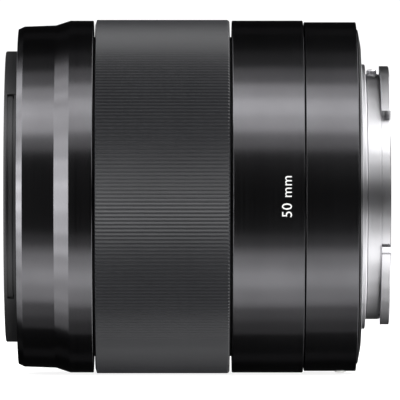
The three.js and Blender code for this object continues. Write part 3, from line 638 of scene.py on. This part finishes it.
# ---------------------------------------------------------------- rear of the barrel
def make_rear_sleeves():
    seat_r = TUBE_R + 0.15
    front = [
        (seat_r, SLEEVE_FRONT),
        (SLEEVE_R - 0.12, SLEEVE_FRONT, 0.03),
        (SLEEVE_R, SLEEVE_FRONT + 0.15, 0.05),
        (SLEEVE_R, SLEEVE_SPLIT - 0.1, 0.04),
        (REAR_SLEEVE_R, SLEEVE_SPLIT, 0.05),
        (SLEEVE_BORE_R, SLEEVE_SPLIT),
        (SLEEVE_BORE_R, SLEEVE_FRONT + 1.1),
        (seat_r, SLEEVE_FRONT + 1.1),
    ]
    sleeve = turned("rear_barrel_front_sleeve_fine", front)
    dress(sleeve, BLACK, ["rear_barrel_front_sleeve"])
    rear = [
        (SLEEVE_BORE_R, REAR_SLEEVE_FRONT),
        (REAR_SLEEVE_R, REAR_SLEEVE_FRONT, 0.06),
        (REAR_SLEEVE_R, REAR_SLEEVE_REAR, 0.07),
        (SLEEVE_BORE_R, REAR_SLEEVE_REAR),
    ]
    hole = turned("bead_hole", [(0, 0), (1.25, 0), (1.25, 4), (0, 4)], 48, 0)
    on_axis(hole, (0, BEAD_Y, -REAR_SLEEVE_R - 2), "Z")
    sleeve = cut(turned("rear_barrel_rear_sleeve_fine", rear), [hole])
    dress(sleeve, BLACK, ["rear_barrel_rear_sleeve"])

    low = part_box("mount_index_bead")[0].z / MM
    dome = [(0, -1.6), (0.55, -1.55, 0.3), (0.95, -1.35, 0.3), (1.15, -1.0, 0.3), (1.15, 0), (0, 0)]
    bead = turned("mount_index_bead_fine", [(r, y) + tuple(f) for r, y, *f in dome], 48)
    turn = Matrix.Rotation(pi / 2, 4, "X")
    bead.data.transform(Matrix.Translation((0, BEAD_Y * MM, (low + 1.6) * MM)) @ turn)
    dress(bead, PAINT, ["mount_index_bead"])


def make_rear_cover_ring():
    front, rear = front_of("rear_cover_ring"), rear_of("rear_cover_ring")
    inner_r = FLANGE_R + COVER_GAP
    outline = [
        (inner_r, front),
        (COVER_R, front),
        (COVER_R, rear - COVER_SLOPE, 0.08),
        (inner_r, rear + COVER_SLOPE),
    ]
    dress(turned("rear_cover_ring_fine", outline), COVER, ["rear_cover_ring"])


def make_marking():
    """Generic focal length in raised white paint, wrapped on the front sleeve, read upwards."""
    height, middle_y, paint = 1.72, -13.2, 0.02
    text = bpy.data.curves.new("focal_length_marking", "FONT")
    text.body = "50 mm"
    text.align_x = "CENTER"
    text.size = height / 0.7 * MM
    text.space_character = 1.08
    text.resolution_u = 6
    text.extrude = paint * MM
    holder = bpy.data.objects.new("marking_outline", text)
    bpy.context.scene.collection.objects.link(holder)
    marking = baked("focal_length_marking", holder)
    low = min(v.co.y for v in marking.data.vertices)
    high = max(v.co.y for v in marking.data.vertices)
    scale = height * MM / (high - low)
    for v in marking.data.vertices:
        angle = v.co.x * scale / (SLEEVE_R * MM)
        r = SLEEVE_R * MM + v.co.z
        y = middle_y * MM - (v.co.y - (low + high) / 2) * scale
        v.co = (r * cos(angle), y, r * sin(angle))
    dress(marking, PAINT, body="barrel")


# ---------------------------------------------------------------- bayonet mount
def make_mount():
    """Flange, centring collar, neck and three tabs, one of them with a ramp, and a locking notch."""
    rim_r = NECK_R - 0.2
    ramp = (334.5, 336.6)
    ramp_share = 0.6  # of a tab's height, and the rest is a step
    notch = (38.7, 40.5)
    notch_r, notch_y = 20.6, TAB_REAR - 1.1
    pocket_outline = [(0, -3), (0.95, -3), (0.95, -1.1), (1.6, -1.1), (1.6, 1), (0, 1)]

    def tab_radius(angle):
        if any(a <= angle <= b for a, b in TABS) or TABS[-1][1] < angle <= ramp[0]:
            return TAB_R
        if ramp[0] < angle < ramp[1]:
            return TAB_R - (TAB_R - rim_r) * ramp_share * (angle - ramp[0]) / (ramp[1] - ramp[0])
        return rim_r

    def section(angle):
        top = tab_radius(angle)
        deep = notch[0] <= angle <= notch[1]
        rear_r = notch_r if deep else top
        relief = 0.5 if top > NECK_R else 0.04
        return [
            (MOUNT_BORE_R, FRAME_REAR),
            (FLANGE_R, FRAME_REAR),
            (FLANGE_R, -0.12),
            (FLANGE_R, -0.09),
            (FLANGE_R - 0.03, -0.03),
            (FLANGE_R - 0.09, 0),
            (PILOT_R + 0.25, 0),
            (PILOT_R + 0.2, -0.12),
            (PILOT_R, -0.12),
            (PILOT_R, PILOT_REAR - 0.13),
            (PILOT_R, PILOT_REAR - 0.1),
            (PILOT_R - 0.03, PILOT_REAR - 0.03),
            (PILOT_R - 0.1, PILOT_REAR),
            (NECK_R + 0.02, PILOT_REAR),
            (NECK_R - 0.8, PILOT_REAR + 0.02),
            (NECK_R - 0.8, PILOT_REAR + 0.2),
            (NECK_R, PILOT_REAR + 0.22),
            (NECK_R, PILOT_REAR + 0.26),
            (NECK_R, NECK_REAR - 0.31),
            (NECK_R, NECK_REAR - 0.27),
            (NECK_R - relief, NECK_REAR - 0.25),
            (NECK_R - relief, NECK_REAR),
            (top - 0.05, NECK_REAR + 0.01),
            (top, NECK_REAR + 0.06),
            (top, NECK_REAR + 0.1),
            (top, notch_y - 0.02),
            (rear_r, notch_y),
            (rear_r, TAB_REAR - 0.18),
            (rear_r, TAB_REAR - 0.15),
            (rear_r - 0.11, TAB_REAR - 0.01),
            (rear_r - 0.16, TAB_REAR),
            (MOUNT_BORE_R + 0.15, TAB_REAR),
            (MOUNT_BORE_R, TAB_REAR - 0.15),
        ]

    edges = [a for tab in TABS for a in tab] + list(notch) + list(ramp)
    angles = {360 * i / TURNS for i in range(TURNS)}
    angles |= {e + d for e in edges for d in (-0.05, 0.05)}
    mount = ring_mesh("bayonet_mount_fine", [(a, section(a)) for a in sorted(angles)])
    tools = []
    for angle in SCREW_ANGLES:
        pocket = turned("pocket", pocket_outline, 40, 0)
        x, z = polar(SCREW_CIRCLE_R, angle)
        tools.append(on_axis(pocket, (x, 0, z)))
    stop_hole = turned("stop_hole", [(0, -2), (0.95, -2), (0.95, 2), (0, 2)], 40, 0)
    tools.append(on_axis(stop_hole, (0, STOP_SCREW_Y, NECK_R), "Z"))
    mount = cut(mount, tools)
    dress(mount, CHROME, ["bayonet_mount"], sharp=32)


def screw(name, head_r, head_high, shank_r, shank_long, recess):
    """A pan screw with a cross recess, turned about Y with its head's top at 0."""
    outline = [
        (0, -head_high - shank_long),
        (shank_r - 0.15, -head_high - shank_long, 0.02),
        (shank_r, -head_high - shank_long + 0.2),
        (shank_r, -head_high, 0.02),
        (head_r, -head_high, 0.05),
        (head_r, -0.25, 0.15),
        (head_r * 0.8, 0, 0.2),
        (0, 0),
    ]
    body = turned(name, outline, 64, 0.04)
    wide, long, deep = 0.13 * head_r * 2, recess, 0.55 * head_high
    slots = [
        box_tool("slot", (-long / 2, -deep, -wide / 2), (long / 2, 1, wide / 2)),
        box_tool("slot", (-wide / 2, -deep, -long / 2), (wide / 2, 1, long / 2)),
    ]
    return cut(body, slots)


def make_mount_screws():
    top = rear_of("mount_screw_1")
    for i, angle in enumerate(SCREW_ANGLES):
        name = f"mount_screw_{i + 1}"
        made = screw(name + "_fine", 1.5, 1.0, 0.85, 2.6, 1.7)
        made.data.transform(Matrix.Rotation(-radians(angle + 20 * i), 4, "Y"))
        x, z = polar(SCREW_CIRCLE_R, angle)
        on_axis(made, (x, top, z))
        dress(made, STEEL, [name])
    low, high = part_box("bayonet_stop_screw")
    stop = screw("bayonet_stop_screw_fine", 0.88, 1.2, 0.6, (high.z - low.z) / MM - 1.2, 1.0)
    on_axis(stop, (0, STOP_SCREW_Y, high.z / MM), "Z")
    dress(stop, STEEL, ["bayonet_stop_screw"])


def make_rear_baffle():
    """The baffle behind the last glass, and on it the block that carries the contacts."""
    rear, face = 1.2, 1.0
    wall_r = MOUNT_BORE_R - 0.2
    wide, high, corner = 8.6, 6.6, 3
    opening = []
    for sx, sz, start in [(1, 1, 0), (-1, 1, 90), (-1, -1, 180), (1, -1, 270)]:
        centre = (sx * (wide - corner), sz * (high - corner))
        opening += arc(corner, start, start + 90, 10, centre)
    disc = plate("baffle_face", [circle(wall_r - 0.02, 128), opening], rear - face, rear, 0.1)
    wall = [(wall_r - 1, -1.8), (wall_r, -1.8), (wall_r, rear - 0.1, 0.1), (wall_r - 1, rear - 0.3)]
    baffle = cut(turned("rear_light_baffle_fine", wall), [disc], "UNION")
    dress(baffle, PLASTIC, ["rear_light_baffle"])

    first, last, channel_y = 64, 116, 3.4
    body = plate("contact_block_fine", [sector(15.4, 19.1, first, last)], rear, 4, 0.15)
    groove = sector(16.6, 18.6, first + 2, last - 2)
    channel = plate("channel", [groove], channel_y, 4.6, 0.05)
    dress(cut(body, [channel]), PLASTIC, ["contact_block"])

    pins = 10
    inlay = sector(16.8, 18.4, first + 3, last - 3)
    strip = plate("strip", [inlay], channel_y, channel_y + 0.3, 0.05)
    domes = []
    for i in range(pins):
        x, z = polar(17.6, first + 5 + (last - first - 10) * i / (pins - 1))
        dome = [(0, 3.6), (0.5, 3.6, 0), (0.5, 3.9, 0.15), (0.3, 4.12, 0.15), (0, 4.15)]
        domes.append(on_axis(turned("pin", dome, 24), (x, 0, z)))
    strip.name = "contact_strip_fine"
    dress(cut(strip, domes, "UNION"), GOLD, ["contact_strip"])


# ---------------------------------------------------------------- glass and its cells
def sag(radius, height):
    return radius - (1 if radius > 0 else -1) * sqrt(radius * radius - height * height)


def make_glass():
    """The elements, each with its two surfaces, a chamfered edge and a flat round a deep hollow."""
    steps, turns = 20, TURNS // 2
    for i, (front, thick, r1, r2, half, well) in enumerate(GLASS):
        rear = front + thick
        outline = [(half * k / steps, front + sag(r1, half * k / steps)) for k in range(steps)]
        edge_front, edge_rear = front + sag(r1, half), rear + sag(r2, well)
        outline += [(half - 0.15, front + sag(r1, half - 0.15)), (half, edge_front + 0.15)]
        if well < half:
            outline += [(half, edge_rear - 0.1), (half - 0.1, edge_rear), (well, edge_rear)]
        else:
            outline += [(half, edge_rear - 0.12), (half - 0.12, rear + sag(r2, half - 0.12))]
        inner = [well * k / steps for k in range(steps)]
        outline += [(h, rear + sag(r2, h)) for h in reversed(inner)]
        name = f"lens_element_{i + 1}"
        glass = ring_mesh(name + "_fine", [(360 * k / turns, outline) for k in range(turns)])
        mat = FRONT_GLASS if i in (0, 8) else INNER_GLASS
        dress(glass, mat, [name], sharp=25)


def make_cells():
    """The cells that hold the glass, bored to the size of each element."""
    half = [g[4] + GLASS_FIT for g in GLASS]
    front = [
        (half[0], -55.2),
        (17.6, -55.2),
        (17.6, -43),
        (24, -43),
        (24, -41.6),
        (18.8, -41.6),
        (18.8, -40.45),
        (10.2, -40.45),
        (10.2, -40.75),
        (half[2], -40.75),
        (half[2], -44.1),
        (half[1], -44.1),
        (half[1], -49.1),
        (half[0], -49.1),
    ]
    dress(turned("front_lens_cell_fine", front), INNER, ["front_lens_cell"])
    rear_group = [
        (half[3], -36),
        (18.9, -36),
        (18.9, -35.2),
        (12, -35.2),
        (12, -23.2),
        (half[5], -23.2),
        (half[5], -25.5),
        (8.8, -25.5),
        (8.8, -28.1),
        (half[3], -28.1),
    ]
    cell = turned("rear_group_cell_fine", rear_group)
    dress(cell, PLASTIC, ["rear_group_cell"])
    last = [
        (9.35, -5.5),
        (11, -5.5),
        (11, -3.6),
        (20.4, -3.6),
        (20.4, -2.65),
        (11, -2.65),
        (11, -1.6, 0.3),
        (8.6, -1.6, 0.3),
        (8.6, -2.3),
        (9.35, -2.3),
    ]
    dress(turned("rear_lens_cell_fine", last), PLASTIC, ["rear_lens_cell"])


# ---------------------------------------------------------------- iris
def make_blades():
    """Crescent leaves, each on its own level, with a pivot pin and a drive pin."""
    pivot = polar(18.4, 0)
    drive = polar(17.65, 18)
    pin_r, pin_front, pin_rear = 0.45, -40.2, -36.95
    outline = arc(19.2, -4, 21, 12) + arc(16.9, 25, 92, 32) + arc(11.4, 98, -4, 48)
    for i in range(BLADES):
        name = f"iris_blade_{i + 1}"
        front = front_of("iris_blade_1") + 0.75 + BLADE_PITCH * i
        middle = front + BLADE_THICK / 2
        leaf = plate("leaf", [outline], front, front + BLADE_THICK, 0.02)
        pins = []
        for (x, z), low, high in ((pivot, pin_front, middle), (drive, middle, pin_rear)):
            pin = turned("pin", [(0, low), (pin_r, low), (pin_r, high), (0, high)], 20, 0.05)
            pins.append(on_axis(pin, (x, 0, z)))
        leaf.name = name + "_fine"
        blade = cut(leaf, pins, "UNION")
        blade.data.transform(Matrix.Rotation(-radians(360 * i / BLADES), 4, "Y"))
        dress(blade, INNER, [name])


# ---------------------------------------------------------------- remaining CAD nodes
def finish_cad_nodes():
    for slot, (mat, names) in CAD_FINISH.items():
        for name in names:
            obj = frame["nodes"][name]
            obj.data.materials.clear()
            obj.data.materials.append(mat)
            weld = obj.modifiers.new("weld", "WELD")
            weld.merge_threshold = 0.001 * MM
            edge = obj.modifiers.new("edge", "BEVEL")
            edge.width = 0.06 * MM
            edge.segments = 2
            edge.angle_limit = radians(30)


# ---------------------------------------------------------------- studio
CENTRE = (CAD_BOX[0] + CAD_BOX[1]) / 2


def make_camera():
    data = bpy.data.cameras.new("camera")
    data.sensor_width = 36
    data.lens = 683
    data.shift_x = 0.0625
    data.clip_start, data.clip_end = 0.1, 20
    camera = bpy.data.objects.new("camera", data)
    bpy.context.scene.collection.objects.link(camera)
    camera.location = (1.332, -0.0324, -0.0006)
    camera.rotation_euler = (pi / 2, 0, pi / 2)
    bpy.context.scene.camera = camera


def area_light(name, wide, tall, radiance, place_and_turn):
    """A rectangular light that only shows in what it lights; `tall` runs along its own Y."""
    data = bpy.data.lights.new(name, "AREA")
    data.shape = "RECTANGLE"
    data.size, data.size_y = wide, tall
    data.energy = radiance * pi * wide * tall
    light = bpy.data.objects.new(name, data)
    bpy.context.scene.collection.objects.link(light)
    light.matrix_world = place_and_turn
    light.visible_camera = False


def soft_box(name, elevation, tilt, across, along, radiance, distance=1.0, slide=0.0):
    """A light that faces the lens. Elevation turns about the optical axis from +X towards +Z,
    tilt leans towards the mount, `along` is its side that lies along the axis, and it is moved
    along the axis by `slide`."""
    e, t = radians(elevation), radians(tilt)
    back = Vector((cos(t) * cos(e), sin(t), cos(t) * sin(e)))
    side = (Vector((0, 1, 0)) - back * back.y).normalized()
    turn = Matrix((side.cross(back), side, back)).transposed().to_4x4()
    spot = Matrix.Translation(CENTRE + back * distance + Vector((0, slide, 0)))
    area_light(name, across, along, radiance, spot @ turn)


def make_lights():
    """Long soft lights above and below the barrel, which fade out towards their edges, panels on
    the front side, and an arc of panels behind that shows the mount."""
    above = [(36, 0.6), (48, 2.05), (60, 2.9), (72, 1.7), (86, 0.5), (102, 0.08), (138, 0.05)]
    below = [(-43, 0.6), (-55, 1.1), (-67, 0.6), (-81, 0.2), (-130, 0.05)]
    for elevation, radiance in above + below:
        soft_box("long_light", elevation, 0, 0.19, 1.3, radiance, 0.9, -0.42)
    front = [(-95, 0.5), (-80, 0.9), (-62, 0.3), (-47, 0.6), (-33, 2.0), (-17, 3.2), (0, 3.9)]
    front += [(17, 3.5), (33, 2.2), (47, 0.5), (66, 0.3), (80, 1.5), (95, 1.2), (110, 0.4)]
    for elevation, radiance in front:
        soft_box("front_panel", elevation, -42, 0.26, 0.7, radiance)
    soft_box("front_overhead", 50, -13, 0.3, 0.2, 1.3)
    rear_above = [(12, 0.3), (23, 1.8), (35, 2.25), (47, 1.9), (59, 1.3), (71, 1.6), (85, 4.0)]
    rear_above += [(101, 4.6), (117, 3.6), (135, 2.0)]
    rear_below = [(-12, 0.3), (-23, 1.7), (-35, 1.6), (-47, 1.5), (-59, 1.5), (-71, 2.2)]
    rear_below += [(-85, 3.7), (-101, 3.8), (-119, 2.2), (-140, 1.3)]
    for elevation, radiance in rear_above + rear_below:
        soft_box("rear_panel", elevation, 33, 0.2, 0.85, radiance)
    soft_box("front_top", 120, -50, 1.0, 0.6, 1.2)
    soft_box("far_side_front", 155, -40, 0.8, 0.5, 1.2)
    soft_box("far_side_rear", 155, 40, 0.8, 0.5, 1.2)
    # the glow of the table beside the lens, brightest just outside the lens's own shadow
    edges = [18, 27, 36, 48, 64, 84]
    for low, high, radiance in zip(edges, edges[1:], [0.15, 0.6, 0.7, 0.5, 0.15]):
        spot = Matrix.Translation(((low + high) / 2 * MM, CENTRE.y, CAD_BOX[0].z - 0.5 * MM))
        face_up = Matrix.Rotation(pi, 4, "X")
        area_light("table_glow", (high - low) * MM, 0.3, radiance, spot @ face_up)


def make_world():
    world = bpy.data.worlds.new("world")
    bpy.context.scene.world = world
    world.use_nodes = True
    world.node_tree.nodes["Background"].inputs["Color"].default_value = (0.009, 0.009, 0.009, 1)


def glow(name, strength, albedo=0.0):
    mat = principled(name, (albedo,) * 3, 0.9)
    shader = mat.node_tree.nodes["Principled BSDF"]
    shader.inputs["Emission Color"].default_value = (1, 1, 1, 1)
    shader.inputs["Emission Strength"].default_value = strength
    shader.inputs["Specular IOR Level"].default_value = 0
    return mat


def make_surroundings():
    """A white dome and a pale floor that only the camera sees, so they leave the reflections alone."""
    reach = 2.7
    bm = bmesh.new()
    bmesh.ops.create_uvsphere(bm, u_segments=64, v_segments=32, radius=reach)
    dome = finish_mesh("backdrop", bm)
    dome.data.shade_smooth()
    dome.data.materials.append(glow("backdrop_white", 1.1))
    bm = bmesh.new()
    bmesh.ops.create_circle(bm, cap_ends=True, segments=64, radius=reach)
    floor = finish_mesh("floor", bm)
    floor.location.z = CAD_BOX[0].z - 0.05 * MM
    # the floor's glow is painted a little dimmer near the lens, a painted shade round the lens, so
    # that the faint contact shadow the lights cast there shows
    white = glow("floor_white", 1.0, 0.35)
    away = node(white, "ShaderNodeVectorMath", {0: place(white)}, operation="LENGTH")
    inputs = {0: away.outputs["Value"], 1: 0.05, 2: 0.25, 3: 0.85, 4: 1.05}
    plug(white, "Emission Strength", node(white, "ShaderNodeMapRange", inputs).outputs[0])
    floor.data.materials.append(white)
    for obj in (dome, floor):
        for ray in ("diffuse", "glossy", "transmission", "volume_scatter", "shadow"):
            setattr(obj, "visible_" + ray, False)


make_camera()
make_filter_ring()
make_front_barrel()
make_front_trim_ring()
make_focus_ring()
make_rear_sleeves()
make_rear_cover_ring()
make_marking()
make_mount()
make_mount_screws()
make_rear_baffle()
make_glass()
make_cells()
make_blades()
finish_cad_nodes()
make_world()
make_lights()
make_surroundings()
bpy.context.scene.view_settings.view_transform = "Standard"
